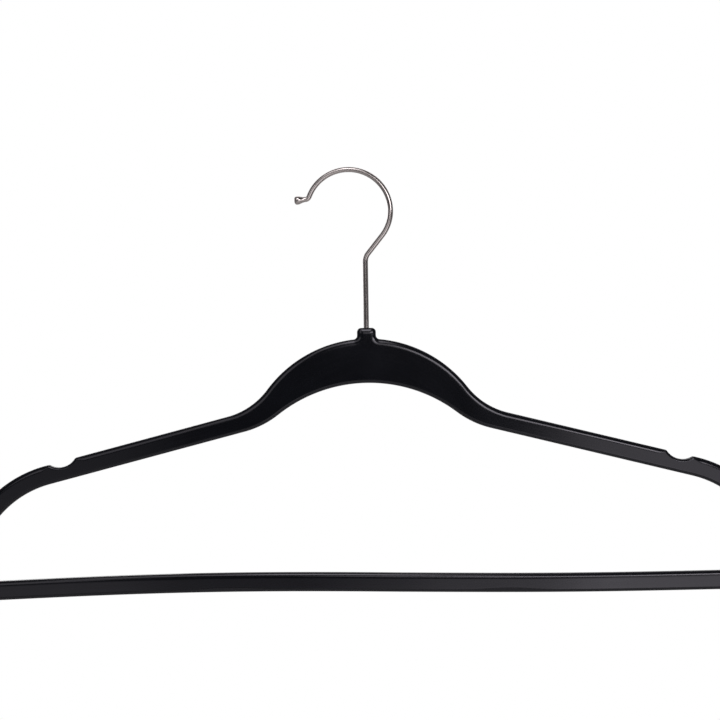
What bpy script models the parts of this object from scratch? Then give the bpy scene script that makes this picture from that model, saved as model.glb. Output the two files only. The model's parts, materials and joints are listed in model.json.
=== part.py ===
"""Slim suit hanger: a moulded plastic frame with a trouser bar, and a wire hook that swivels in it.

The hook stays on the rail and the frame turns under it. The shapes are laid out in the shaft frame,
in millimetres: x is measured from the swivel axis and z from the root of the neck. One empty puts
that frame in the world, where the origin is the inner crown of the hook, the place that rests on
the rail.
"""

from math import atan2, cos, hypot, pi, radians, sin, sqrt, tan

import bmesh
import bpy

MM = 0.001

# Wire hook
WIRE_RADIUS = 1.4
HOOK_RADIUS = 22.5        # centreline of the round part
HOOK_OFFSET = 8.6         # swivel axis to the centre of the round part
HOOK_CENTRE_Z = 65.6
LOWER_RADIUS = 21.45      # the round part closes in a little, from this angle down
LOWER_ANGLE = radians(15.0)
HOOK_LEAN = radians(38.7)  # straight run between the round part and the shaft, from vertical
SHAFT_BEND_RADIUS = 7.0
TIP_ANGLE = radians(158.5)  # where the round part ends
TIP_BEND_RADIUS = 2.2
TIP_TURN = radians(62.0)
FLARE_START = 0.6         # end of the tip bend to where the wire swells into the knob
FLARE_LENGTH = 3.8
FLARE_STEPS = 4
KNOB_RADIUS = 2.25
KNOB_LENGTH = 1.9         # of the knob's rounded end
KNOB_POWER = 2.6          # over 2, so the end is blunter than a ball's
KNOB_STEPS = 6
KNOB_END_ANGLE = radians(82)

# Moulded frame
THICKNESS = 5.0           # of the bar
BEVEL_WIDTH = 2.3
BEVEL_DEPTH = 1.3
NECK_HALF_WIDTH = 5.0
NECK_TOP_Z = 3.2
NECK_CORNER = 2.2
NECK_FILLET = 2.2
NECK_FACE_CORNER = 0.5    # corner of the flat face inside the neck's bevel
CREST_Z = -2.55
CREST_RADIUS = 67.3
CREST_BLEND = 38.8
ARCH_Z = -26.2
ARCH_RADIUS = 78.2
ARCH_BLEND = 49.6
ARM_ANGLE = radians(14.2)
ARM_Z = -24.2             # the arm's upper line, carried on to the swivel axis
ARM_WIDTH = 10.1
SHOULDER_X = 158.6
SHOULDER_RADIUS = 64.0
CORNER_RADIUS = 18.0
BAR_BOTTOM_Z = -139.3
BAR_CROWN = 1.2
NOTCH_X = 165.05
NOTCH_RADIUS = 10.3
NOTCH_DEPTH = 3.0
NOTCH_RIDGE = 1.5
NARROW_BEVEL = 1.3        # the bevel's width round the strap notches
BEVEL_FADE = 7.0          # length over which the bevel narrows towards a notch

# Samples along the frame's edge, and bands across its face
NECK_TOP_STEPS = 2
NECK_CORNER_STEPS = 5
NECK_FILLET_STEPS = 5
HUMP_STEPS = 16
BLEND_STEPS = 9
ARM_STEPS = 11
RIDGE_STEPS = 3
NOTCH_STEPS = 8
SHOULDER_STEPS = 18
CORNER_STEPS = 12
BAR_STEPS = 12
ARCH_FINENESS = 3         # the arch is sampled finer, because the outer edge's shares are read from it
FACE_COLUMNS = 5
SHARP_ANGLE = radians(20)

# Swell that makes the neck and yoke thick enough for the bush
SWELL_RISE = 1.0          # on each face
SWELL_CORE = 18.0         # distance from the swivel axis that is raised in full
SWELL_END = 150.0
SWELL_FLOOR_Z = -100.0    # between the arms and the bar, which stays slim

# Bush and the end of the wire
LIP_RADIUS = 1.6
LIP_HEIGHT = 1.5
BUSH_RADIUS = 2.1
BUSH_BORE_RADIUS = 1.5
BUSH_LENGTH = 9.0
BUSH_GROOVES = 4
GROOVE_DEPTH = 0.2
GAP = 0.15
HEAD_RADIUS = 1.9
HEAD_HEIGHT = 1.4
TURNED_SIDES = 24

CROWN_Z = HOOK_CENTRE_Z + HOOK_RADIUS - WIRE_RADIUS
LIP_Z = NECK_TOP_Z - LIP_HEIGHT
BUSH_TOP_Z = LIP_Z - GAP
BUSH_BOTTOM_Z = BUSH_TOP_Z - BUSH_LENGTH
HEAD_TOP_Z = BUSH_BOTTOM_Z - GAP
HEAD_BOTTOM_Z = HEAD_TOP_Z - HEAD_HEIGHT
CHAMBER_BOTTOM_Z = HEAD_BOTTOM_Z - 3 * GAP


def clear_scene():
    for obj in list(bpy.data.objects):
        bpy.data.objects.remove(obj, do_unlink=True)


def new_collection(name):
    collection = bpy.data.collections.new(name)
    bpy.context.scene.collection.children.link(collection)
    return collection


def new_material(name, colour, roughness, metallic):
    material = bpy.data.materials.new(name)
    material.use_nodes = True
    shader = material.node_tree.nodes["Principled BSDF"]
    shader.inputs["Base Color"].default_value = (*colour, 1.0)
    shader.inputs["Roughness"].default_value = roughness
    shader.inputs["Metallic"].default_value = metallic
    return material


def plastic_material():
    return new_material("black_plastic", (0.012, 0.012, 0.014), 0.4, 0.0)


def chrome_material():
    return new_material("hook_chrome", (0.62, 0.58, 0.56), 0.18, 1.0)


def steel_material():
    return new_material("bush_steel", (0.45, 0.44, 0.42), 0.4, 1.0)


# Outline samples are (x, z, nx, nz): a point on the edge and the direction that faces out of the
# material.


def line(start, end, normal, steps):
    """Samples from start to end, both included."""
    run = []
    for i in range(steps + 1):
        t = i / steps
        run.append((start[0] + t * (end[0] - start[0]), start[1] + t * (end[1] - start[1]), *normal))
    return run


def arc(centre, radius, start, end, steps, inside=1):
    """Samples on an arc. inside is 1 where the material is inside the circle and -1 outside it."""
    run = []
    for i in range(steps + 1):
        angle = start + (end - start) * i / steps
        run.append((
            centre[0] + radius * cos(angle),
            centre[1] + radius * sin(angle),
            inside * cos(angle),
            inside * sin(angle),
        ))
    return run


def joined(*runs):
    """One run of samples, without the doubled ones where two runs meet."""
    whole = list(runs[0])
    for run in runs[1:]:
        whole += run[1:]
    return whole


def arm_line_z(x, drop):
    """Height of the arm's line at x. drop is the distance below the upper line, square to it."""
    return ARM_Z - x * tan(ARM_ANGLE) - drop / cos(ARM_ANGLE)


def blend_circle(hump_z, hump_radius, blend_radius, drop):
    """Centre of the circle that rounds the corner between a hump on the axis and the arm's line."""
    slope = tan(ARM_ANGLE)
    rise = arm_line_z(0, drop) + blend_radius / cos(ARM_ANGLE) - hump_z
    a = 1 + slope**2
    b = -2 * rise * slope
    c = rise**2 - (hump_radius + blend_radius)**2
    x = (-b + sqrt(b * b - 4 * a * c)) / (2 * a)
    return x, arm_line_z(x, drop) + blend_radius / cos(ARM_ANGLE)


def hump_and_blend(hump_z, hump_radius, blend_radius, drop, start, material=1, fineness=1):
    """The hump from angle start, and the reverse curve that leads into the arm's line."""
    centre = blend_circle(hump_z, hump_radius, blend_radius, drop)
    meet = atan2(centre[1] - hump_z, centre[0])
    hump = arc((0, hump_z), hump_radius, start, meet, HUMP_STEPS * fineness, material)
    blend_end = 1.5 * pi - ARM_ANGLE
    blend = arc(centre, blend_radius, meet + pi, blend_end, BLEND_STEPS * fineness, -material)
    return joined(hump, blend)


def neck(half_width, top_z, corner, fillet, hump_radius):
    """The neck's outline from its top centre to the crest, and the angle where it meets the crest."""
    hump_z = CREST_Z - CREST_RADIUS
    fillet_x = half_width + fillet
    fillet_centre = (fillet_x, hump_z + sqrt((hump_radius + fillet)**2 - fillet_x**2))
    meet = atan2(fillet_centre[1] - hump_z, fillet_centre[0])
    corner_centre = (half_width - corner, top_z - corner)
    outline = joined(
        line((0, top_z), (corner_centre[0], top_z), (0, 1), NECK_TOP_STEPS),
        arc(corner_centre, corner, pi / 2, 0, NECK_CORNER_STEPS),
        line((half_width, corner_centre[1]), (half_width, fillet_centre[1]), (1, 0), 1),
        arc(fillet_centre, fillet, pi, pi + meet, NECK_FILLET_STEPS, -1),
    )
    return outline, meet


def notch():
    """The strap notch, a round scoop with rounded ridges, laid along the arm's upper line."""
    rise = NOTCH_RADIUS - NOTCH_DEPTH
    reach = sqrt((NOTCH_RADIUS + NOTCH_RIDGE)**2 - (rise + NOTCH_RIDGE)**2)
    lean = atan2(rise + NOTCH_RIDGE, reach)
    scoop = joined(
        arc((-reach, -NOTCH_RIDGE), NOTCH_RIDGE, pi / 2, lean, RIDGE_STEPS),
        arc((0, rise), NOTCH_RADIUS, pi + lean, 2 * pi - lean, NOTCH_STEPS, -1),
        arc((reach, -NOTCH_RIDGE), NOTCH_RIDGE, pi - lean, pi / 2, RIDGE_STEPS),
    )
    c, s = cos(ARM_ANGLE), -sin(ARM_ANGLE)
    origin_z = arm_line_z(NOTCH_X, 0)
    return [
        (NOTCH_X + x * c - z * s, origin_z + x * s + z * c, nx * c - nz * s, nx * s + nz * c)
        for x, z, nx, nz in scoop
    ]


def end_of_frame(drop):
    """Shoulder, lower corner and bar. drop is 0 on the outer edge and the arm's width on the inner."""
    material = 1 if drop == 0 else -1
    shoulder = (SHOULDER_X, arm_line_z(SHOULDER_X, 0) - SHOULDER_RADIUS / cos(ARM_ANGLE))
    corner_z = BAR_BOTTOM_Z + CORNER_RADIUS
    reach = SHOULDER_RADIUS - CORNER_RADIUS
    corner = (shoulder[0] + sqrt(reach**2 - (corner_z - shoulder[1])**2), corner_z)
    meet = atan2(corner[1] - shoulder[1], corner[0] - shoulder[0])
    bar = []
    for sample in line((corner[0], 0), (0, 0), (0, -material), BAR_STEPS):
        rise = BAR_CROWN * (1 - (sample[0] / corner[0])**2)
        bar.append((sample[0], BAR_BOTTOM_Z + drop + rise, *sample[2:]))
    shoulder_start = pi / 2 - ARM_ANGLE
    return (
        arc(shoulder, SHOULDER_RADIUS - drop, shoulder_start, meet, SHOULDER_STEPS, material),
        arc(corner, CORNER_RADIUS - drop, meet, -pi / 2, CORNER_STEPS, material),
        bar,
    )


def straight_to(run, target, steps):
    """A straight run from the last sample of one run to the first of another."""
    return line(run[-1][:2], target[0][:2], run[-1][2:], steps)


def outer_half():
    """The outer edge in stretches, from the neck's top to the middle of the bar's underside."""
    neck_run, meet = neck(NECK_HALF_WIDTH, NECK_TOP_Z, NECK_CORNER, NECK_FILLET, CREST_RADIUS)
    yoke = joined(neck_run, hump_and_blend(CREST_Z - CREST_RADIUS, CREST_RADIUS, CREST_BLEND, 0, meet))
    shoulder, corner, bar = end_of_frame(0)
    scoop = notch()
    arm = joined(straight_to(yoke, scoop, ARM_STEPS), scoop, straight_to(scoop, shoulder, 1))
    return yoke, arm, shoulder, corner, bar


def yoke_face_half():
    """The edge of the flat face on the neck and yoke, with the outer edge's samples."""
    hump_radius = CREST_RADIUS - BEVEL_WIDTH
    neck_run, meet = neck(
        NECK_HALF_WIDTH - BEVEL_WIDTH,
        NECK_TOP_Z - BEVEL_WIDTH,
        NECK_FACE_CORNER,
        NECK_FILLET + BEVEL_WIDTH,
        hump_radius,
    )
    blend_radius = CREST_BLEND + BEVEL_WIDTH
    hump = hump_and_blend(CREST_Z - CREST_RADIUS, hump_radius, blend_radius, BEVEL_WIDTH, meet)
    return joined(neck_run, hump)


def inner_half():
    """The inner edge in the same stretches, from the arch's top to the middle of the bar's top."""
    arch_z = ARCH_Z - ARCH_RADIUS
    arch = hump_and_blend(arch_z, ARCH_RADIUS, ARCH_BLEND, ARM_WIDTH, pi / 2, -1, ARCH_FINENESS)
    shoulder, corner, bar = end_of_frame(ARM_WIDTH)
    return arch, straight_to(arch, shoulder, 1), shoulder, corner, bar


def lengths_along(run):
    """Distance along a run at each of its samples, as a share of the whole."""
    total = [0.0]
    for a, b in zip(run, run[1:]):
        total.append(total[-1] + hypot(b[0] - a[0], b[1] - a[1]))
    return [t / total[-1] for t in total]


def resampled(run, shares):
    """The run at the given shares of its length."""
    known = lengths_along(run)
    result = []
    i = 0
    for share in shares:
        while i < len(known) - 2 and known[i + 1] < share:
            i += 1
        t = (share - known[i]) / (known[i + 1] - known[i])
        sample = [a + t * (b - a) for a, b in zip(run[i], run[i + 1])]
        size = hypot(sample[2], sample[3])
        result.append((sample[0], sample[1], sample[2] / size, sample[3] / size))
    return result


def smooth_step(value):
    t = min(max(value, 0.0), 1.0)
    return t * t * (3 - 2 * t)


def swell(x, z):
    """How far the faces of the neck, yoke and arms stand out beyond the bar's."""
    if z < SWELL_FLOOR_Z:
        return 0.0
    return SWELL_RISE * smooth_step((SWELL_END - abs(x)) / (SWELL_END - SWELL_CORE))


def bevel_width(x, z):
    """The bevel is narrow round the notch, whose ridges are too tight for the full width."""
    reach = NOTCH_RADIUS - NOTCH_DEPTH
    away = max(hypot(x - NOTCH_X, z - arm_line_z(NOTCH_X, 0)) - reach, 0.0)
    return NARROW_BEVEL + (BEVEL_WIDTH - NARROW_BEVEL) * smooth_step(away / BEVEL_FADE)


def inset(sample, width):
    return sample[0] - width * sample[2], sample[1] - width * sample[3]


def section(outer, face_edge, inner):
    """One closed slice through the frame's rim, from the outer edge across the front and back."""
    far = inset(inner, BEVEL_WIDTH)
    front = [(*outer[:2], THICKNESS / 2 - BEVEL_DEPTH + swell(*outer[:2]))]
    for k in range(FACE_COLUMNS + 1):
        t = k / FACE_COLUMNS
        x = face_edge[0] + t * (far[0] - face_edge[0])
        z = face_edge[1] + t * (far[1] - face_edge[1])
        front.append((x, z, THICKNESS / 2 + swell(x, z)))
    front.append((*inner[:2], THICKNESS / 2 - BEVEL_DEPTH + swell(*inner[:2])))
    return [(x, -y, z) for x, z, y in front] + [(x, y, z) for x, z, y in reversed(front)]


def frame_sections():
    """Slices from the neck down the right side to the middle of the bar, then mirrored back up."""
    outer, inner = outer_half(), inner_half()
    edges = []
    matched = []
    for number, (run, partner) in enumerate(zip(outer, inner)):
        if number == 0:
            face = [sample[:2] for sample in yoke_face_half()]
            first = 0
        else:
            face = [inset(sample, bevel_width(*sample[:2])) for sample in run]
            first = 1
        edges += list(zip(run, face))[first:]
        matched += resampled(partner, lengths_along(run))[first:]
    right = [section(o, face, i) for (o, face), i in zip(edges, matched)]
    left = [[(-x, y, z) for x, y, z in slice_] for slice_ in reversed(right[1:-1])]
    return right + left


def lofted_ring(name, sections):
    """A closed band of quads through a loop of slices."""
    mesh = bpy.data.meshes.new(name)
    bm = bmesh.new()
    rings = [[bm.verts.new([v * MM for v in point]) for point in slice_] for slice_ in sections]
    for ring, following in zip(rings, rings[1:] + rings[:1]):
        for i in range(len(ring)):
            j = (i + 1) % len(ring)
            bm.faces.new((ring[i], ring[j], following[j], following[i]))
    bmesh.ops.recalc_face_normals(bm, faces=bm.faces)
    bm.to_mesh(mesh)
    bm.free()
    return mesh


def place(obj, collection, parent, material=None):
    collection.objects.link(obj)
    obj.parent = parent
    if material:
        obj.data.materials.append(material)
        if obj.type == "MESH":
            obj.data.shade_smooth()
            obj.data.set_sharp_from_angle(angle=SHARP_ANGLE)
    return obj


def turned(name, profile):
    """A solid turned round the swivel axis. The profile is (radius, z), down its outer side."""
    mesh = bpy.data.meshes.new(name)
    points = [(radius * MM, 0, z * MM) for radius, z in profile]
    closed = profile[0][0] > 0
    count = len(points)
    edges = [(i, (i + 1) % count) for i in range(count if closed else count - 1)]
    mesh.from_pydata(points, edges, [])
    obj = bpy.data.objects.new(name, mesh)
    screw = obj.modifiers.new("turn", "SCREW")
    screw.axis = "Z"
    screw.steps = screw.render_steps = TURNED_SIDES
    screw.use_merge_vertices = True
    screw.merge_threshold = 0.00001
    screw.use_smooth_shade = True
    return obj


def chamber_cutter(cutters, axis):
    """The stepped hole in the neck: a lip round the wire, and the room for the bush and the head."""
    room = BUSH_RADIUS + GAP
    profile = [
        (0, NECK_TOP_Z + 1),
        (LIP_RADIUS, NECK_TOP_Z + 1),
        (LIP_RADIUS, LIP_Z),
        (room, LIP_Z),
        (room, CHAMBER_BOTTOM_Z),
        (0, CHAMBER_BOTTOM_Z),
    ]
    cutter = place(turned("chamber_cutter", profile), cutters, axis)
    cutter.hide_render = True
    cutter.display_type = "WIRE"
    return cutter


def make_frame(parts, cutters, axis):
    mesh = lofted_ring("moulded_frame", frame_sections())
    frame = place(bpy.data.objects.new("moulded_frame", mesh), parts, axis, plastic_material())
    cut = frame.modifiers.new("chamber", "BOOLEAN")
    cut.operation = "DIFFERENCE"
    cut.object = chamber_cutter(cutters, axis)
    return frame


def make_bush(parts, axis):
    """The sleeve that is moulded into the neck, with grooves that the plastic grips."""
    profile = [(BUSH_BORE_RADIUS, BUSH_TOP_Z), (BUSH_RADIUS, BUSH_TOP_Z)]
    pitch = BUSH_LENGTH / (2 * BUSH_GROOVES + 1)
    for i in range(BUSH_GROOVES):
        top = BUSH_TOP_Z - (2 * i + 1) * pitch
        profile += [
            (BUSH_RADIUS, top),
            (BUSH_RADIUS - GROOVE_DEPTH, top - GROOVE_DEPTH),
            (BUSH_RADIUS - GROOVE_DEPTH, top - pitch + GROOVE_DEPTH),
            (BUSH_RADIUS, top - pitch),
        ]
    profile += [(BUSH_RADIUS, BUSH_BOTTOM_Z), (BUSH_BORE_RADIUS, BUSH_BOTTOM_Z)]
    return place(turned("hook_bush", profile), parts, axis, steel_material())


def direction(angle):
    return cos(angle), sin(angle)


def hook_centreline():
    """The wire from the top of the straight shaft to the end of the tip bend, and its last heading."""
    centre = (-HOOK_OFFSET, HOOK_CENTRE_Z)
    shift = HOOK_RADIUS - LOWER_RADIUS
    lower = (centre[0] + shift * cos(LOWER_ANGLE), centre[1] + shift * sin(LOWER_ANGLE))
    tangent = (lower[0] + LOWER_RADIUS * cos(HOOK_LEAN), lower[1] - LOWER_RADIUS * sin(HOOK_LEAN))
    bend_z = tangent[1] - tangent[0] / tan(HOOK_LEAN)
    shaft_top = bend_z - SHAFT_BEND_RADIUS * tan(HOOK_LEAN / 2)
    tip_reach = HOOK_RADIUS + TIP_BEND_RADIUS
    tip_centre = (centre[0] + tip_reach * cos(TIP_ANGLE), centre[1] + tip_reach * sin(TIP_ANGLE))
    return (
        arc((SHAFT_BEND_RADIUS, shaft_top), SHAFT_BEND_RADIUS, pi, pi - HOOK_LEAN, 5)
        + arc(lower, LOWER_RADIUS, -HOOK_LEAN, LOWER_ANGLE, 10)
        + arc(centre, HOOK_RADIUS, LOWER_ANGLE, TIP_ANGLE, 26)[1:]
        + arc(tip_centre, TIP_BEND_RADIUS, TIP_ANGLE - pi, TIP_ANGLE - pi - TIP_TURN, 6)[1:]
    ), TIP_ANGLE + pi / 2 - TIP_TURN


def hook_points():
    """(x, z, radius) down the whole wire: the upset head, the shaft, the hook and the knob."""
    route, heading = hook_centreline()
    points = [
        (0, HEAD_BOTTOM_Z, HEAD_RADIUS - GAP),
        (0, HEAD_BOTTOM_Z + GAP, HEAD_RADIUS),
        (0, HEAD_TOP_Z, HEAD_RADIUS),
        (0, HEAD_TOP_Z + GAP / 2, WIRE_RADIUS),
    ]
    points += [(x, z, WIRE_RADIUS) for x, z, _, _ in route]
    across, up = direction(heading)
    knob = []
    for i in range(FLARE_STEPS + 1):
        swelling = smooth_step(i / FLARE_STEPS)
        along = FLARE_START + FLARE_LENGTH * i / FLARE_STEPS
        knob.append((along, WIRE_RADIUS + (KNOB_RADIUS - WIRE_RADIUS) * swelling))
    for i in range(1, KNOB_STEPS + 1):
        angle = KNOB_END_ANGLE * i / KNOB_STEPS
        along = FLARE_START + FLARE_LENGTH + KNOB_LENGTH * sin(angle) ** (2 / KNOB_POWER)
        knob.append((along, KNOB_RADIUS * cos(angle) ** (2 / KNOB_POWER)))
    end_x, end_z = route[-1][:2]
    points += [(end_x + along * across, end_z + along * up, radius) for along, radius in knob]
    return points


def make_hook(parts, axis):
    """One wire, thickened where its lower end is upset and where its tip is rolled into a knob."""
    curve = bpy.data.curves.new("swivel_hook", "CURVE")
    curve.dimensions = "3D"
    curve.bevel_depth = MM
    curve.bevel_resolution = 4
    curve.use_fill_caps = True
    points = hook_points()
    spline = curve.splines.new("POLY")
    spline.points.add(len(points) - 1)
    for point, (x, z, radius) in zip(spline.points, points):
        point.co = (x * MM, 0, z * MM, 1)
        point.radius = radius
    spline.use_smooth = True
    return place(bpy.data.objects.new("swivel_hook", curve), parts, axis, chrome_material())


def main():
    clear_scene()
    parts = new_collection("suit_hanger")
    cutters = new_collection("cutters")
    axis = bpy.data.objects.new("swivel_axis", None)
    parts.objects.link(axis)
    axis.location = (HOOK_OFFSET * MM, 0, -CROWN_Z * MM)
    make_frame(parts, cutters, axis)
    make_bush(parts, axis)
    make_hook(parts, axis)


main()
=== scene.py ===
"""Looks for the suit hanger: black moulding, chromed wire hook and the bush hidden in the neck.

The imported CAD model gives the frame: its bodies, the swivel axis and the whole box. The three
pieces are modelled again here at a finer scale, in the shaft frame: millimetres, x from the
swivel axis and z from the root of the neck.
"""

import json
from math import atan2, ceil, copysign, cos, hypot, pi, radians, sin, sqrt, tan

import bmesh
import bpy
from mathutils import Matrix, Vector


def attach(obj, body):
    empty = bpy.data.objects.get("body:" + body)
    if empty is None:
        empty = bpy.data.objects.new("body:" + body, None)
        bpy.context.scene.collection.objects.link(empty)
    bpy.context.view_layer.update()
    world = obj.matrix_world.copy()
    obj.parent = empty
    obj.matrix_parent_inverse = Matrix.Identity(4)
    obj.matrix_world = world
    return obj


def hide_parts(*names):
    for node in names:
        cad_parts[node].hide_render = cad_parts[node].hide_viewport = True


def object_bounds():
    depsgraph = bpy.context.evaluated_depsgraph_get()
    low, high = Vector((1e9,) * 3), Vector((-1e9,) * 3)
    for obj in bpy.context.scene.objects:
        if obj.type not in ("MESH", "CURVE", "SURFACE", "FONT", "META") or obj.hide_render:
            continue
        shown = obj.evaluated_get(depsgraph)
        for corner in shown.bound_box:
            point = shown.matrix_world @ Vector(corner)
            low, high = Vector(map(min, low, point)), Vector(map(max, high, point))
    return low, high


MM = 0.001

# Wire hook
WIRE_RADIUS = 1.4
HOOK_RADIUS = 22.5        # centreline of the round part
HOOK_OFFSET = 8.6         # swivel axis to the centre of the round part
HOOK_CENTRE_Z = 65.6
LOWER_RADIUS = 21.45      # the round part closes in a little, from this angle down
LOWER_ANGLE = radians(15.0)
HOOK_LEAN = radians(38.7)
SHAFT_BEND_RADIUS = 7.0
TIP_ANGLE = radians(158.5)
TIP_BEND_RADIUS = 2.2
TIP_TURN = radians(62.0)
FLARE_START = 0.6         # end of the tip bend to where the wire swells into the knob
FLARE_LENGTH = 3.8
FLARE_STEPS = 14
KNOB_RADIUS = 2.25
KNOB_LENGTH = 1.9         # of the knob's rounded end
KNOB_POWER = 2.6          # over 2, so the end is blunter than a ball's
KNOB_STEPS = 18
KNOB_END_ANGLE = radians(88.5)
WIRE_SIDES = 40
WIRE_STEP = 0.7

# Moulded frame
HALF_THICKNESS = 2.5
YOKE_RIM = 3.35           # width of the elliptic rounding between the side and the face
UPPER_RIM = 3.0           # the same on the arms and bar, where the side faces up
LOWER_RIM = 1.9           # and where it faces down
RIM_DEPTH = 1.7
PARTING_HEIGHT = 0.04
PARTING_WIDTH = 0.12
NECK_HALF_WIDTH = 5.0
NECK_TOP_Z = 3.2
NECK_CORNER = 2.2
NECK_FILLET = 2.2
NECK_FACE_CORNER = 0.6
CREST_Z = -2.55
CREST_RADIUS = 67.3
CREST_BLEND = 38.8
ARCH_Z = -26.2
ARCH_RADIUS = 78.2
ARCH_BLEND = 49.6
ARM_ANGLE = radians(14.2)
ARM_Z = -24.2             # the arm's upper line, carried on to the swivel axis
ARM_WIDTH = 10.1
SHOULDER_X = 158.6
SHOULDER_RADIUS = 64.0
CORNER_RADIUS = 18.0
BAR_BOTTOM_Z = -139.3
BAR_CROWN = 1.2
BAR_END_X = 198.0
BAR_TURN_X = 18.0         # where the bar's upward bow turns into its downward one
LEFT_BOW = 1.57
RIGHT_BOW = -1.05
BOW_TOP_Z = -112.0        # the bow fades out up the end corners, between these heights
BOW_BOTTOM_Z = -127.0
END_SHIFT = 1.4           # the ends and their notches sit this far to the right of even
SHIFT_START_X = 95.0      # the shift grows over this length of each arm
SHIFT_END_X = 150.0
SHOULDER_FADE = 20.0      # height above BOW_TOP_Z where the shift comes to follow the arm
NOTCH_X = 165.05
NOTCH_RADIUS = 10.3
NOTCH_DEPTH = 3.0
NOTCH_RIDGE = 1.5
NOTCH_RIM = 1.5           # width of the rounding round the strap notches
NOTCH_RIM_FADE = 5.0      # length over which it narrows towards a notch
YOKE_RIM_FADE = 25.0      # length over which it narrows away from the yoke
FINE_STEP = 0.35          # spacing of the slices round the neck and the notches
SLICE_STEP = 1.1
RIM_STEPS = 18
ROUNDING_STEPS = 5
FACE_COLUMNS = 9

# Swell that makes the neck and yoke thick enough for the bush
SWELL_RISE = 1.0
SWELL_CORE = 18.0
SWELL_END = 150.0
SWELL_FLOOR_Z = -100.0

# Bush and the end of the wire
LIP_RADIUS = 1.6
LIP_HEIGHT = 1.5
LIP_CHAMFER = 0.3
BUSH_RADIUS = 2.1
BUSH_BORE_RADIUS = 1.5
BUSH_LENGTH = 9.0
BUSH_GROOVES = 4
GROOVE_DEPTH = 0.2
KNURL_RIDGES = 36
KNURL_DEPTH = 0.08
KNURL_FINENESS = 4        # samples round each ridge
GAP = 0.15
HEAD_RADIUS = 1.9
HEAD_HEIGHT = 1.4
HEAD_ROUNDING = 0.35
CUTTER_SIDES = 64
SHARP_ANGLE = radians(40)

LIP_Z = NECK_TOP_Z - LIP_HEIGHT
BUSH_TOP_Z = LIP_Z - GAP
BUSH_BOTTOM_Z = BUSH_TOP_Z - BUSH_LENGTH
HEAD_TOP_Z = BUSH_BOTTOM_Z - GAP
HEAD_BOTTOM_Z = HEAD_TOP_Z - HEAD_HEIGHT
CHAMBER_BOTTOM_Z = HEAD_BOTTOM_Z - 3 * GAP

# A noise texture mostly lies between these values
NOISE_LOW = 0.3
NOISE_HIGH = 0.7

# Studio, in metres from the centre of the hanger's box
CAMERA_DISTANCE = 0.8
CAMERA_LENS = 74.77       # this and the sensor in millimetres
SENSOR_WIDTH = 36.0
CLIP_START = 0.01
CAMERA_ROLL = radians(0.885)
CAMERA_AIM = (-0.003655, 0.0110)
FLOOR_DROP = 0.54
FLOOR_RADIUS = 1.3
FLOOR_FADE_START = 0.55   # share of the floor's radius
FLOOR_SEGMENTS = 96
ROOM_DARK = 0.06
ROOM_PALE = 0.22
ROOM_DARK_ANGLE = radians(35)
ROOM_PALE_ANGLE = radians(100)

# Soft lights: name, place, size and radiance
LIGHTS = (
    ("top_light", (-0.10, -0.70, 0.74), (0.60, 0.46), 1.3),
    ("top_core", (-0.02, -0.70, 0.74), (0.24, 0.46), 2.2),
    ("right_light", (0.34, -1.0, 0.31), (0.44, 0.23), 4.0),
    ("right_core", (0.50, -1.0, 0.33), (0.22, 0.23), 1.7),
    ("middle_light", (0.045, -1.0, 0.25), (0.16, 0.28), 1.2),
    ("left_light", (-0.52, -1.0, 0.42), (0.38, 0.50), 0.9),
    ("right_fill", (0.55, -1.0, -0.20), (0.62, 0.50), 1.16),
    ("low_right_fill", (0.19, -1.0, -0.34), (0.26, 0.36), 0.40),
    ("low_fill", (0.20, -1.0, -0.34), (0.51, 0.24), 0.46),
    ("low_left_fill", (-0.35, -1.0, -0.34), (0.61, 0.24), 0.26),
    ("left_fill", (-0.64, -1.0, -0.20), (0.80, 0.36), 0.27),
    ("back_light", (0.0, 0.9, 0.9), (1.2, 0.8), 1.3),
    ("back_side", (-0.45, 0.9, 0.22), (0.5, 0.3), 2.0),
    ("back_fill", (0.45, 0.9, -0.2), (0.7, 0.5), 0.8),
)


# ---- Outline: samples are (x, z, nx, nz), a point and the direction that faces out of the material


def steps_for(length, step):
    return max(2, ceil(length / step))


def line(start, end, normal, step=SLICE_STEP):
    count = steps_for(hypot(end[0] - start[0], end[1] - start[1]), step)
    run = []
    for i in range(count + 1):
        t = i / count
        x = start[0] + t * (end[0] - start[0])
        z = start[1] + t * (end[1] - start[1])
        run.append((x, z, *normal))
    return run


def arc(centre, radius, start, end, inside=1, step=SLICE_STEP, count=None):
    """Samples on an arc. inside is 1 where the material is inside the circle and -1 outside it."""
    count = count or steps_for(radius * abs(end - start), step)
    run = []
    for i in range(count + 1):
        angle = start + (end - start) * i / count
        run.append((
            centre[0] + radius * cos(angle),
            centre[1] + radius * sin(angle),
            inside * cos(angle),
            inside * sin(angle),
        ))
    return run


def joined(*runs):
    whole = list(runs[0])
    for run in runs[1:]:
        whole += run[1:]
    return whole


def arm_line_z(x, drop):
    """Height of the arm's line at x. drop is the distance below the upper line, square to it."""
    return ARM_Z - x * tan(ARM_ANGLE) - drop / cos(ARM_ANGLE)


def blend_circle(hump_z, hump_radius, blend_radius, drop):
    """Centre of the circle that rounds the corner between a hump on the axis and the arm's line."""
    slope = tan(ARM_ANGLE)
    rise = arm_line_z(0, drop) + blend_radius / cos(ARM_ANGLE) - hump_z
    a = 1 + slope**2
    b = -2 * rise * slope
    c = rise**2 - (hump_radius + blend_radius)**2
    x = (-b + sqrt(b * b - 4 * a * c)) / (2 * a)
    return x, arm_line_z(x, drop) + blend_radius / cos(ARM_ANGLE)


def hump_and_blend(hump_z, hump_radius, blend_radius, drop, start, counts=(None, None), inside=1):
    """The hump from angle start, and the reverse curve that leads into the arm's line."""
    centre = blend_circle(hump_z, hump_radius, blend_radius, drop)
    meet = atan2(centre[1] - hump_z, centre[0])
    hump = arc((0, hump_z), hump_radius, start, meet, inside, count=counts[0])
    blend = arc(centre, blend_radius, meet + pi, 1.5 * pi - ARM_ANGLE, -inside, count=counts[1])
    return hump, blend


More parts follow.
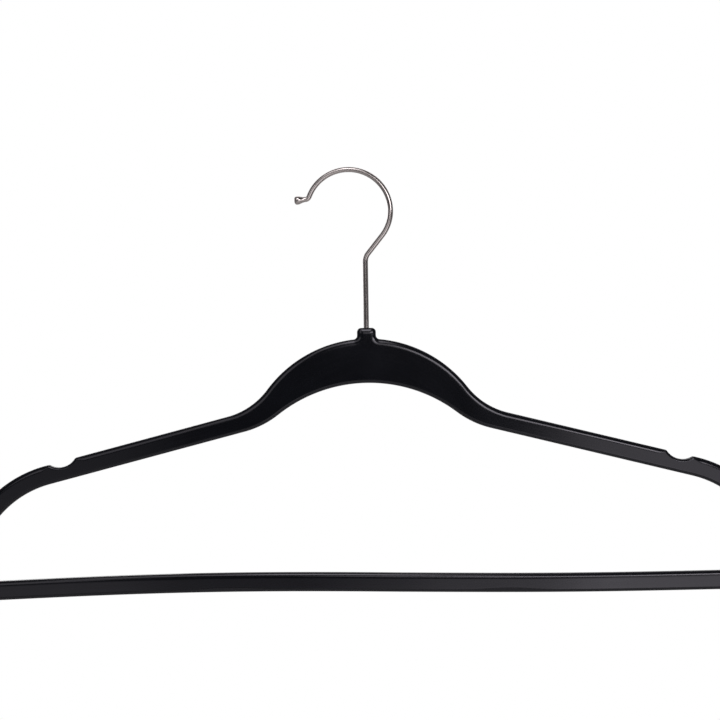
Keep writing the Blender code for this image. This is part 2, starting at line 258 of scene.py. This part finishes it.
def neck(half_width, top_z, corner, fillet, hump_radius, counts=(None,) * 4):
    """The neck's outline from its top centre to the crest, and the angle where they meet."""
    hump_z = CREST_Z - CREST_RADIUS
    fillet_x = half_width + fillet
    fillet_centre = (fillet_x, hump_z + sqrt((hump_radius + fillet)**2 - fillet_x**2))
    meet = atan2(fillet_centre[1] - hump_z, fillet_centre[0])
    corner_x = half_width - corner
    corner_z = top_z - corner
    top, bend, side, foot = counts
    runs = (
        counted_line((0, top_z), (corner_x, top_z), (0, 1), top),
        arc((corner_x, corner_z), corner, pi / 2, 0, step=FINE_STEP, count=bend),
        counted_line((half_width, corner_z), (half_width, fillet_centre[1]), (1, 0), side),
        arc(fillet_centre, fillet, pi, pi + meet, -1, FINE_STEP, foot),
    )
    return runs, meet


def counted_line(start, end, normal, count):
    """A straight run with a given number of steps, or with fine ones."""
    length = hypot(end[0] - start[0], end[1] - start[1])
    return line(start, end, normal, length / count if count else FINE_STEP)


def notch():
    """The strap notch, a round scoop with rounded ridges, laid along the arm's upper line."""
    rise = NOTCH_RADIUS - NOTCH_DEPTH
    reach = sqrt((NOTCH_RADIUS + NOTCH_RIDGE)**2 - (rise + NOTCH_RIDGE)**2)
    lean = atan2(rise + NOTCH_RIDGE, reach)
    scoop = joined(
        arc((-reach, -NOTCH_RIDGE), NOTCH_RIDGE, pi / 2, lean, step=FINE_STEP / 2),
        arc((0, rise), NOTCH_RADIUS, pi + lean, 2 * pi - lean, -1, FINE_STEP),
        arc((reach, -NOTCH_RIDGE), NOTCH_RIDGE, pi - lean, pi / 2, step=FINE_STEP / 2),
    )
    c, s = cos(ARM_ANGLE), -sin(ARM_ANGLE)
    origin_z = arm_line_z(NOTCH_X, 0)
    return [
        (NOTCH_X + x * c - z * s, origin_z + x * s + z * c, nx * c - nz * s, nx * s + nz * c)
        for x, z, nx, nz in scoop
    ]


def end_of_frame(drop):
    """Shoulder, lower corner and bar. drop is 0 outside and the arm's width on the inner edge."""
    inside = 1 if drop == 0 else -1
    shoulder = (SHOULDER_X, arm_line_z(SHOULDER_X, 0) - SHOULDER_RADIUS / cos(ARM_ANGLE))
    corner_z = BAR_BOTTOM_Z + CORNER_RADIUS
    reach = SHOULDER_RADIUS - CORNER_RADIUS
    corner = (shoulder[0] + sqrt(reach**2 - (corner_z - shoulder[1])**2), corner_z)
    meet = atan2(corner[1] - shoulder[1], corner[0] - shoulder[0])
    bar = []
    for sample in line((corner[0], 0), (0, 0), (0, -inside)):
        rise = BAR_CROWN * (1 - (sample[0] / corner[0])**2)
        bar.append((sample[0], BAR_BOTTOM_Z + drop + rise, *sample[2:]))
    start = pi / 2 - ARM_ANGLE
    return (
        arc(shoulder, SHOULDER_RADIUS - drop, start, meet, inside),
        arc(corner, CORNER_RADIUS - drop, meet, -pi / 2, inside),
        bar,
    )


def straight_to(run, target):
    return line(run[-1][:2], target[0][:2], run[-1][2:])


def outer_half():
    """The outer edge in stretches, and the edge of the flat face beside the first of them."""
    neck_runs, meet = neck(NECK_HALF_WIDTH, NECK_TOP_Z, NECK_CORNER, NECK_FILLET, CREST_RADIUS)
    humps = hump_and_blend(CREST_Z - CREST_RADIUS, CREST_RADIUS, CREST_BLEND, 0, meet)
    yoke = joined(*neck_runs, *humps)
    shoulder, corner, bar = end_of_frame(0)
    scoop = notch()
    arm = joined(straight_to(yoke, scoop), scoop, straight_to(scoop, shoulder))
    face_radius = CREST_RADIUS - YOKE_RIM
    face_neck, face_meet = neck(
        NECK_HALF_WIDTH - YOKE_RIM,
        NECK_TOP_Z - YOKE_RIM,
        NECK_FACE_CORNER,
        NECK_FILLET + YOKE_RIM,
        face_radius,
        [len(run) - 1 for run in neck_runs],
    )
    face_humps = hump_and_blend(
        CREST_Z - CREST_RADIUS,
        face_radius,
        CREST_BLEND + YOKE_RIM,
        YOKE_RIM,
        face_meet,
        [len(run) - 1 for run in humps],
    )
    return (yoke, arm, shoulder, corner, bar), joined(*face_neck, *face_humps)


def inner_half():
    """The inner edge in the same stretches, from the arch's top to the middle of the bar's top."""
    arch_z = ARCH_Z - ARCH_RADIUS
    arch = joined(*hump_and_blend(arch_z, ARCH_RADIUS, ARCH_BLEND, ARM_WIDTH, pi / 2, inside=-1))
    shoulder, corner, bar = end_of_frame(ARM_WIDTH)
    return arch, straight_to(arch, shoulder), shoulder, corner, bar


def lengths_along(run):
    """Distance along a run at each of its samples, as a share of the whole."""
    total = [0.0]
    for a, b in zip(run, run[1:]):
        total.append(total[-1] + hypot(b[0] - a[0], b[1] - a[1]))
    return [t / total[-1] for t in total]


def resampled(run, shares):
    known = lengths_along(run)
    result = []
    i = 0
    for share in shares:
        while i < len(known) - 2 and known[i + 1] < share:
            i += 1
        t = (share - known[i]) / (known[i + 1] - known[i])
        sample = [a + t * (b - a) for a, b in zip(run[i], run[i + 1])]
        size = hypot(sample[2], sample[3])
        result.append((sample[0], sample[1], sample[2] / size, sample[3] / size))
    return result


def smooth_step(value):
    t = min(max(value, 0.0), 1.0)
    return t * t * (3 - 2 * t)


def swell(x, z):
    """How far the faces of the neck, yoke and arms stand out beyond the bar's."""
    if z < SWELL_FLOOR_Z:
        return 0.0
    return SWELL_RISE * smooth_step((SWELL_END - abs(x)) / (SWELL_END - SWELL_CORE))


def plain_rim(nz):
    """The rim's width away from the yoke and the notches, for a side that faces this far up."""
    return LOWER_RIM + (UPPER_RIM - LOWER_RIM) * smooth_step((nz + 1) / 2)


def outer_rim(sample, yoke_end):
    """The outer rim is wide beside the yoke, and narrow round the notch, whose ridges are tight."""
    x, z, nx, nz = sample
    width = YOKE_RIM + (plain_rim(nz) - YOKE_RIM) * smooth_step(abs(x - yoke_end) / YOKE_RIM_FADE)
    reach = NOTCH_RADIUS - NOTCH_DEPTH
    away = max(hypot(x - NOTCH_X, z - arm_line_z(NOTCH_X, 0)) - reach, 0.0)
    return NOTCH_RIM + (width - NOTCH_RIM) * smooth_step(away / NOTCH_RIM_FADE)


def inset(sample, width):
    return sample[0] - width * sample[2], sample[1] - width * sample[3]


# ---- Slices through the frame's rim


def rim(edge, face_edge):
    """Points of one rim, as (x, z, y), from the parting line round to the flat face."""
    width = hypot(face_edge[0] - edge[0], face_edge[1] - edge[1])
    side_y = HALF_THICKNESS - RIM_DEPTH + swell(*edge[:2])
    face_y = HALF_THICKNESS + swell(*face_edge)
    profile = [(-PARTING_HEIGHT, 0.0), (0.0, PARTING_WIDTH)]
    for i in range(RIM_STEPS + 1):
        angle = pi / 2 * i / RIM_STEPS
        profile.append((width * (1 - cos(angle)), side_y + (face_y - side_y) * sin(angle)))
    points = []
    for depth, y in profile:
        t = depth / width
        x = edge[0] + t * (face_edge[0] - edge[0])
        z = edge[1] + t * (face_edge[1] - edge[1])
        points.append((x, z, y))
    return points


def slice_through(outer, face_edge, inner):
    """One closed slice, from the outer parting line across the front and back again."""
    near = rim(outer, face_edge)
    far = rim(inner, inset(inner, plain_rim(inner[3])))
    front = list(near)
    for k in range(1, FACE_COLUMNS):
        t = k / FACE_COLUMNS
        x = near[-1][0] + t * (far[-1][0] - near[-1][0])
        z = near[-1][1] + t * (far[-1][1] - near[-1][1])
        front.append((x, z, HALF_THICKNESS + swell(x, z)))
    front += reversed(far)
    return [(x, -y, z) for x, z, y in front] + [(x, y, z) for x, z, y in reversed(front[1:-1])]


def frame_slices():
    """Slices from the neck down the right side to the middle of the bar, then mirrored back up."""
    (outer, yoke_face), inner = outer_half(), inner_half()
    slices = []
    for number, (run, partner) in enumerate(zip(outer, inner)):
        if number == 0:
            faces = [sample[:2] for sample in yoke_face]
        else:
            faces = [inset(sample, outer_rim(sample, outer[0][-1][0])) for sample in run]
        matched = resampled(partner, lengths_along(run))
        made = [slice_through(o, f, i) for o, f, i in zip(run, faces, matched)]
        slices += made if number == 0 else made[1:]
    left = [[(-x, y, z) for x, y, z in slice_] for slice_ in reversed(slices[1:-1])]
    return slices + left


def shifted(x, z):
    """The point moved right along the slope of its arm, or straight right on the bar."""
    shift = END_SHIFT * smooth_step((abs(x) - SHIFT_START_X) / (SHIFT_END_X - SHIFT_START_X))
    above_bar = smooth_step((z - BOW_TOP_Z) / SHOULDER_FADE)
    return x + shift, z - copysign(shift * tan(ARM_ANGLE) * above_bar, x)


def bowed(x, z):
    """The bar's height with its slight double bow, which the moulding takes as it cools."""
    if x < BAR_TURN_X:
        bow = LEFT_BOW * sin(pi * (x + BAR_END_X) / (BAR_TURN_X + BAR_END_X))
    else:
        bow = RIGHT_BOW * sin(pi * (x - BAR_TURN_X) / (BAR_END_X - BAR_TURN_X))
    if abs(x) > BAR_END_X:
        bow = 0.0
    return z + bow * smooth_step((BOW_TOP_Z - z) / (BOW_TOP_Z - BOW_BOTTOM_Z))


# ---- Meshes


def ring_mesh(name, rings, loop=False, caps=False):
    """A tube of quads through closed rings of points, with its flow as UV in metres."""
    mesh = bpy.data.meshes.new(name)
    bm = bmesh.new()
    flow = bm.loops.layers.uv.new("flow")
    verts = [[bm.verts.new(SHAFT + Vector(p) * MM) for p in ring] for ring in rings]
    pairs = list(zip(verts, verts[1:])) + ([(verts[-1], verts[0])] if loop else [])
    along = 0.0
    for ring, following in pairs:
        ring_sum = sum((v.co for v in ring), Vector())
        step = (sum((v.co for v in following), Vector()) - ring_sum).length / len(ring)
        around = 0.0
        for i in range(len(ring)):
            j = (i + 1) % len(ring)
            side = (ring[j].co - ring[i].co).length
            face = bm.faces.new((ring[i], ring[j], following[j], following[i]))
            corners = ((along, around), (along, around + side), (along + step, around + side),
                       (along + step, around))
            for corner, uv in zip(face.loops, corners):
                corner[flow].uv = uv
            around += side
        along += step
    if caps:
        bm.faces.new(list(reversed(verts[0])))
        bm.faces.new(verts[-1])
    bmesh.ops.recalc_face_normals(bm, faces=bm.faces)
    bm.to_mesh(mesh)
    bm.free()
    mesh.shade_smooth()
    return mesh


def add_piece(name, mesh, material, body, node):
    piece = bpy.data.objects.new(name, mesh)
    bpy.context.scene.collection.objects.link(piece)
    mesh.materials.clear()
    mesh.materials.append(material)
    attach(piece, body)
    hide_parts(node)
    return piece


def turned_rings(profile, sides, wave=None):
    """Rings round the swivel axis for a profile of (radius, z)."""
    rings = []
    for radius, z in profile:
        ring = []
        for i in range(sides):
            angle = 2 * pi * i / sides
            r = radius + (wave(angle, z, radius) if wave else 0.0)
            ring.append((r * cos(angle), r * sin(angle), z))
        rings.append(ring)
    return rings


def chamber_cutter():
    """The hole in the neck: a chamfered lip round the wire, and room for the bush and head."""
    room = BUSH_RADIUS + GAP
    above = NECK_TOP_Z + 1.0
    profile = [
        (LIP_RADIUS + LIP_CHAMFER + above - NECK_TOP_Z, above),
        (LIP_RADIUS, NECK_TOP_Z - LIP_CHAMFER),
        (LIP_RADIUS, LIP_Z),
        (room, LIP_Z),
        (room, CHAMBER_BOTTOM_Z),
    ]
    mesh = ring_mesh("chamber_cutter", turned_rings(profile, CUTTER_SIDES), caps=True)
    cutter = bpy.data.objects.new("chamber_cutter", mesh)
    bpy.context.scene.collection.objects.link(cutter)
    return cutter


def applied(obj):
    """The mesh of an object with its modifiers applied, and the object gone."""
    graph = bpy.context.evaluated_depsgraph_get()
    mesh = bpy.data.meshes.new_from_object(obj.evaluated_get(graph))
    bpy.data.objects.remove(obj)
    return mesh


def make_frame(material):
    slices = []
    for points in frame_slices():
        moved = [(*shifted(x, z), y) for x, y, z in points]
        slices.append([(x, y, bowed(x, z)) for x, z, y in moved])
    blank = bpy.data.objects.new("frame_blank", ring_mesh("frame_blank", slices, loop=True))
    bpy.context.scene.collection.objects.link(blank)
    cutter = chamber_cutter()
    cut = blank.modifiers.new("chamber", "BOOLEAN")
    cut.operation = "DIFFERENCE"
    cut.object = cutter
    mesh = applied(blank)
    bpy.data.objects.remove(cutter)
    mesh.name = "hanger_body"
    mesh.set_sharp_from_angle(angle=SHARP_ANGLE)
    body = add_piece("hanger_body", mesh, material, "frame", "moulded_frame")
    weighted = body.modifiers.new("face_normals", "WEIGHTED_NORMAL")
    weighted.keep_sharp = True


def make_bush(material):
    """The steel sleeve, straight-knurled between its grooves so that the plastic grips it."""
    pitch = BUSH_LENGTH / (2 * BUSH_GROOVES + 1)
    profile = [(BUSH_BORE_RADIUS, BUSH_TOP_Z), (BUSH_RADIUS - GROOVE_DEPTH, BUSH_TOP_Z)]
    for i in range(BUSH_GROOVES + 1):
        top = BUSH_TOP_Z - 2 * i * pitch
        profile += [(BUSH_RADIUS, top - GROOVE_DEPTH), (BUSH_RADIUS, top - pitch + GROOVE_DEPTH)]
        if i < BUSH_GROOVES:
            low = BUSH_RADIUS - GROOVE_DEPTH
            profile += [(low, top - pitch), (low, top - 2 * pitch)]
    profile += [(BUSH_RADIUS - GROOVE_DEPTH, BUSH_BOTTOM_Z), (BUSH_BORE_RADIUS, BUSH_BOTTOM_Z)]

    def knurl(angle, z, radius):
        return KNURL_DEPTH * (cos(KNURL_RIDGES * angle) - 1) / 2 if radius == BUSH_RADIUS else 0.0

    rings = turned_rings(profile, KNURL_RIDGES * KNURL_FINENESS, knurl)
    mesh = ring_mesh("knurled_bush", rings, loop=True)
    mesh.set_sharp_from_angle(angle=SHARP_ANGLE)
    add_piece("knurled_bush", mesh, material, "frame", "hook_bush")


def hook_route():
    """(x, z, heading) along the wire from the top of the head to the end of the tip bend."""
    centre = (-HOOK_OFFSET, HOOK_CENTRE_Z)
    shift = HOOK_RADIUS - LOWER_RADIUS
    lower = (centre[0] + shift * cos(LOWER_ANGLE), centre[1] + shift * sin(LOWER_ANGLE))
    tangent = (lower[0] + LOWER_RADIUS * cos(HOOK_LEAN), lower[1] - LOWER_RADIUS * sin(HOOK_LEAN))
    bend_z = tangent[1] - tangent[0] / tan(HOOK_LEAN)
    shaft_top = bend_z - SHAFT_BEND_RADIUS * tan(HOOK_LEAN / 2)
    reach = HOOK_RADIUS + TIP_BEND_RADIUS
    tip_centre = (centre[0] + reach * cos(TIP_ANGLE), centre[1] + reach * sin(TIP_ANGLE))
    bend = arc(
        (SHAFT_BEND_RADIUS, shaft_top), SHAFT_BEND_RADIUS, pi, pi - HOOK_LEAN, step=WIRE_STEP / 2
    )
    ring = joined(
        arc(lower, LOWER_RADIUS, -HOOK_LEAN, LOWER_ANGLE, step=WIRE_STEP),
        arc(centre, HOOK_RADIUS, LOWER_ANGLE, TIP_ANGLE, step=WIRE_STEP),
    )
    tip_start = TIP_ANGLE - pi
    tip = arc(tip_centre, TIP_BEND_RADIUS, tip_start, tip_start - TIP_TURN, step=WIRE_STEP / 3)
    shaft = line((0, HEAD_TOP_Z + HEAD_ROUNDING), bend[0][:2], (1, 0), WIRE_STEP)
    lean = line(bend[-1][:2], ring[0][:2], (cos(HOOK_LEAN), -sin(HOOK_LEAN)), WIRE_STEP)
    runs = [(shaft, None), (bend, -1), (lean, None), (ring, 1), (tip, -1)]
    route = []
    for run, turn in runs:
        for x, z, nx, nz in run[1 if route else 0:]:
            if turn:
                heading = atan2(turn * nx, -turn * nz)
            elif route:
                heading = atan2(z - route[-1][1], x - route[-1][0])
            else:
                heading = pi / 2
            route.append((x, z, heading))
    return route


def wire_stations():
    """(x, z, heading, radius) of every ring along the wire, from its head to its knob."""
    up = pi / 2
    r = HEAD_ROUNDING
    stations = []
    for i in range(ROUNDING_STEPS + 1):
        angle = pi / 2 * i / ROUNDING_STEPS
        z = HEAD_BOTTOM_Z + r - r * cos(angle)
        stations.append((0, z, up, HEAD_RADIUS - r + r * sin(angle)))
    for i in range(ROUNDING_STEPS + 1):
        angle = pi / 2 * i / ROUNDING_STEPS
        z = HEAD_TOP_Z - r + r * sin(angle)
        stations.append((0, z, up, HEAD_RADIUS - r + r * cos(angle)))
    route = hook_route()
    x, z, heading = route[-1]
    stations += [(*place, WIRE_RADIUS) for place in route]
    knob = []
    for i in range(1, FLARE_STEPS + 1):
        swelling = (KNOB_RADIUS - WIRE_RADIUS) * smooth_step(i / FLARE_STEPS)
        knob.append((FLARE_START + FLARE_LENGTH * i / FLARE_STEPS, WIRE_RADIUS + swelling))
    for i in range(1, KNOB_STEPS + 1):
        angle = KNOB_END_ANGLE * i / KNOB_STEPS
        along = FLARE_START + FLARE_LENGTH + KNOB_LENGTH * sin(angle)**(2 / KNOB_POWER)
        knob.append((along, KNOB_RADIUS * cos(angle)**(2 / KNOB_POWER)))
    for along, radius in knob:
        stations.append((x + along * cos(heading), z + along * sin(heading), heading, radius))
    return stations


def make_hook(material):
    rings = []
    for x, z, heading, radius in wire_stations():
        side = (sin(heading), -cos(heading))
        ring = []
        for i in range(WIRE_SIDES):
            angle = 2 * pi * i / WIRE_SIDES
            out = radius * cos(angle)
            ring.append((x + out * side[0], radius * sin(angle), z + out * side[1]))
        rings.append(ring)
    mesh = ring_mesh("wire_hook", rings, caps=True)
    mesh.set_sharp_from_angle(angle=SHARP_ANGLE)
    add_piece("wire_hook", mesh, material, "hook", "swivel_hook")


# ---- Materials


class Nodes:
    """A short way to add and link shader nodes."""

    def __init__(self, tree):
        self.tree = tree

    def add(self, kind, inputs=(), **settings):
        node = self.tree.nodes.new(kind)
        for key, value in settings.items():
            setattr(node, key, value)
        for key, value in dict(inputs).items():
            if isinstance(value, bpy.types.NodeSocket):
                self.tree.links.new(value, node.inputs[key])
            else:
                node.inputs[key].default_value = value
        return node

    def noise(self, vector, scale, detail=4.0, roughness=0.55):
        return self.add(
            "ShaderNodeTexNoise",
            {"Vector": vector, "Scale": scale, "Detail": detail, "Roughness": roughness},
        ).outputs["Fac"]

    def stretched(self, vector, scale):
        return self.add("ShaderNodeMapping", {"Vector": vector, "Scale": scale}).outputs["Vector"]

    def spread(self, value, low, high):
        """A noise value, which mostly lies near its middle, spread from low to high."""
        return self.add(
            "ShaderNodeMapRange",
            {"Value": value, "From Min": NOISE_LOW, "From Max": NOISE_HIGH,
             "To Min": low, "To Max": high},
        ).outputs["Result"]

    def bump(self, height, strength, distance, normal=None):
        inputs = {"Height": height, "Strength": strength, "Distance": distance}
        if normal:
            inputs["Normal"] = normal
        return self.add("ShaderNodeBump", inputs).outputs["Normal"]

    def ramp(self, value, low, high):
        node = self.add("ShaderNodeValToRGB", {"Fac": value})
        node.color_ramp.elements[0].color = (*low, 1.0)
        node.color_ramp.elements[1].color = (*high, 1.0)
        node.color_ramp.elements[0].position = NOISE_LOW
        node.color_ramp.elements[1].position = NOISE_HIGH
        return node.outputs["Color"]


def new_material(name):
    material = bpy.data.materials.new(name)
    material.use_nodes = True
    nodes = Nodes(material.node_tree)
    return material, nodes, material.node_tree.nodes["Principled BSDF"]


def connect(nodes, shader, **sources):
    for key, source in sources.items():
        nodes.tree.links.new(source, shader.inputs[key.replace("_", " ")])


def satin_plastic():
    """Black moulded plastic: faint flow streaks along the moulding, a fine grain and soft waves."""
    material, nodes, shader = new_material("satin_black_plastic")
    flow = nodes.add("ShaderNodeUVMap", uv_map="flow").outputs["UV"]
    place = nodes.add("ShaderNodeTexCoord").outputs["Object"]
    streaks = nodes.noise(nodes.stretched(flow, (25.0, 600.0, 1.0)), 1.0, 3.0)
    clouds = nodes.noise(place, 45.0, 3.0)
    grain = nodes.noise(place, 5200.0, 2.0)
    waves = nodes.noise(nodes.stretched(place, (1.0, 0.2, 1.6)), 28.0, 1.0)
    mixed = nodes.add("ShaderNodeMath", {0: streaks, 1: clouds}, operation="ADD").outputs[0]
    halved = nodes.add("ShaderNodeMath", {0: mixed, 1: 0.5}, operation="MULTIPLY").outputs[0]
    soft = nodes.bump(waves, 0.2, 0.0002)
    drawn = nodes.bump(streaks, 0.3, 0.00002, soft)
    normal = nodes.bump(grain, 0.03, 0.00003, drawn)
    connect(
        nodes,
        shader,
        Base_Color=nodes.ramp(clouds, (0.0018, 0.0024, 0.0042), (0.0028, 0.0036, 0.0062)),
        Roughness=nodes.spread(halved, 0.13, 0.18),
        Normal=normal,
    )
    shader.inputs["Specular Tint"].default_value = (0.95, 0.90, 1.0, 1.0)
    return material


def chrome():
    """Bright plating on drawn wire: a warm tint, faint draw lines and a patchy haze."""
    material, nodes, shader = new_material("plated_wire")
    flow = nodes.add("ShaderNodeUVMap", uv_map="flow").outputs["UV"]
    place = nodes.add("ShaderNodeTexCoord").outputs["Object"]
    lines = nodes.noise(nodes.stretched(flow, (12.0, 1600.0, 1.0)), 1.0, 1.0)
    haze = nodes.noise(place, 90.0, 3.0)
    connect(
        nodes,
        shader,
        Base_Color=nodes.ramp(haze, (0.52, 0.465, 0.46), (0.60, 0.54, 0.535)),
        Roughness=nodes.spread(lines, 0.10, 0.17),
    )
    shader.inputs["Metallic"].default_value = 1.0
    return material


def turned_steel():
    """Plain steel with the fine rings that turning leaves."""
    material, nodes, shader = new_material("turned_steel")
    place = nodes.add("ShaderNodeTexCoord").outputs["Object"]
    rings = nodes.noise(nodes.stretched(place, (200.0, 200.0, 9000.0)), 1.0, 2.0)
    blotches = nodes.noise(place, 400.0, 3.0)
    connect(
        nodes,
        shader,
        Base_Color=nodes.ramp(blotches, (0.40, 0.39, 0.37), (0.50, 0.49, 0.47)),
        Roughness=nodes.spread(rings, 0.32, 0.48),
        Normal=nodes.bump(rings, 0.2, 0.00003),
    )
    shader.inputs["Metallic"].default_value = 1.0
    return material


def floor_material():
    """Pale studio floor that fades out at its rim."""
    material, nodes, shader = new_material("studio_floor")
    place = nodes.add("ShaderNodeTexCoord").outputs["Object"]
    mottle = nodes.noise(place, 3.0, 3.0)
    connect(nodes, shader, Base_Color=nodes.ramp(mottle, (0.80, 0.80, 0.79), (0.84, 0.84, 0.83)))
    shader.inputs["Roughness"].default_value = 0.7
    away = nodes.add("ShaderNodeVectorMath", {0: place}, operation="LENGTH").outputs["Value"]
    share = nodes.add(
        "ShaderNodeMapRange",
        {"Value": away, "From Min": FLOOR_RADIUS * FLOOR_FADE_START, "From Max": FLOOR_RADIUS,
         "To Min": 1.0, "To Max": 0.0},
        interpolation_type="SMOOTHSTEP",
    ).outputs["Result"]
    connect(nodes, shader, Alpha=share)
    return material


# ---- Studio


def add_floor(centre):
    mesh = bpy.data.meshes.new("floor")
    bm = bmesh.new()
    bmesh.ops.create_circle(bm, cap_ends=True, segments=FLOOR_SEGMENTS, radius=FLOOR_RADIUS)
    bm.to_mesh(mesh)
    bm.free()
    mesh.materials.append(floor_material())
    floor = bpy.data.objects.new("floor", mesh)
    bpy.context.scene.collection.objects.link(floor)
    floor.location = centre + Vector((0, 0, -FLOOR_DROP))


def add_softbox(centre, name, place, size, radiance):
    """A soft light of the given size, facing the hanger."""
    light = bpy.data.lights.new(name, "AREA")
    light.shape = "RECTANGLE"
    light.size, light.size_y = size
    light.energy = radiance * pi * size[0] * size[1]
    lamp = bpy.data.objects.new(name, light)
    lamp.visible_camera = False
    bpy.context.scene.collection.objects.link(lamp)
    lamp.location = centre + Vector(place)
    lamp.rotation_euler = (-Vector(place)).to_track_quat("-Z", "Y").to_euler()


def add_world():
    """White behind the hanger, and a dim room for what it reflects, darkest round the camera."""
    world = bpy.data.worlds.new("studio")
    world.use_nodes = True
    bpy.context.scene.world = world
    nodes = Nodes(world.node_tree)
    room = world.node_tree.nodes["Background"]
    place = nodes.add("ShaderNodeTexCoord").outputs["Generated"]
    facing = nodes.add("ShaderNodeVectorMath", {0: place, 1: (0, -1, 0)}, operation="DOT_PRODUCT")
    share = nodes.add(
        "ShaderNodeMapRange",
        {"Value": facing.outputs["Value"], "From Min": cos(ROOM_PALE_ANGLE),
         "From Max": cos(ROOM_DARK_ANGLE), "To Min": ROOM_PALE, "To Max": ROOM_DARK},
        interpolation_type="SMOOTHSTEP",
    )
    nodes.tree.links.new(share.outputs["Result"], room.inputs["Strength"])
    white = nodes.add("ShaderNodeBackground", {"Color": (1, 1, 1, 1), "Strength": 1.0})
    path = nodes.add("ShaderNodeLightPath")
    mix = nodes.add("ShaderNodeMixShader", {0: path.outputs["Is Camera Ray"]})
    room.inputs["Color"].default_value = (1, 1, 1, 1)
    nodes.tree.links.new(room.outputs[0], mix.inputs[1])
    nodes.tree.links.new(white.outputs[0], mix.inputs[2])
    nodes.tree.links.new(mix.outputs[0], world.node_tree.nodes["World Output"].inputs["Surface"])


def add_camera(centre):
    camera = bpy.data.objects.new("camera", bpy.data.cameras.new("camera"))
    bpy.context.scene.collection.objects.link(camera)
    camera.data.lens = CAMERA_LENS
    camera.data.sensor_width = SENSOR_WIDTH
    camera.data.clip_start = CLIP_START
    camera.location = centre + Vector((CAMERA_AIM[0], -CAMERA_DISTANCE, CAMERA_AIM[1]))
    level = Matrix.Rotation(pi / 2, 3, "X")
    camera.rotation_euler = (Matrix.Rotation(CAMERA_ROLL, 3, "Y") @ level).to_euler()
    bpy.context.scene.camera = camera


def add_studio(centre):
    add_world()
    add_floor(centre)
    for light in LIGHTS:
        add_softbox(centre, *light)
    add_camera(centre)


bpy.context.scene.view_settings.view_transform = "Standard"
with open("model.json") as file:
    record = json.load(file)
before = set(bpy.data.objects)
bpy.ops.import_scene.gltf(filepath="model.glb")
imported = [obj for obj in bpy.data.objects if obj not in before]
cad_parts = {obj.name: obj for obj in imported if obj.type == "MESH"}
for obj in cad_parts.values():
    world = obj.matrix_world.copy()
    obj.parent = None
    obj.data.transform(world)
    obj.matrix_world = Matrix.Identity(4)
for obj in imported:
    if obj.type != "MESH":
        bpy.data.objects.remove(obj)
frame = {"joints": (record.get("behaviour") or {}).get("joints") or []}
cad_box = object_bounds()
SHAFT = Vector(frame["joints"][0]["pos_m"])
make_frame(satin_plastic())
make_bush(turned_steel())
make_hook(chrome())
add_studio((cad_box[0] + cad_box[1]) / 2)
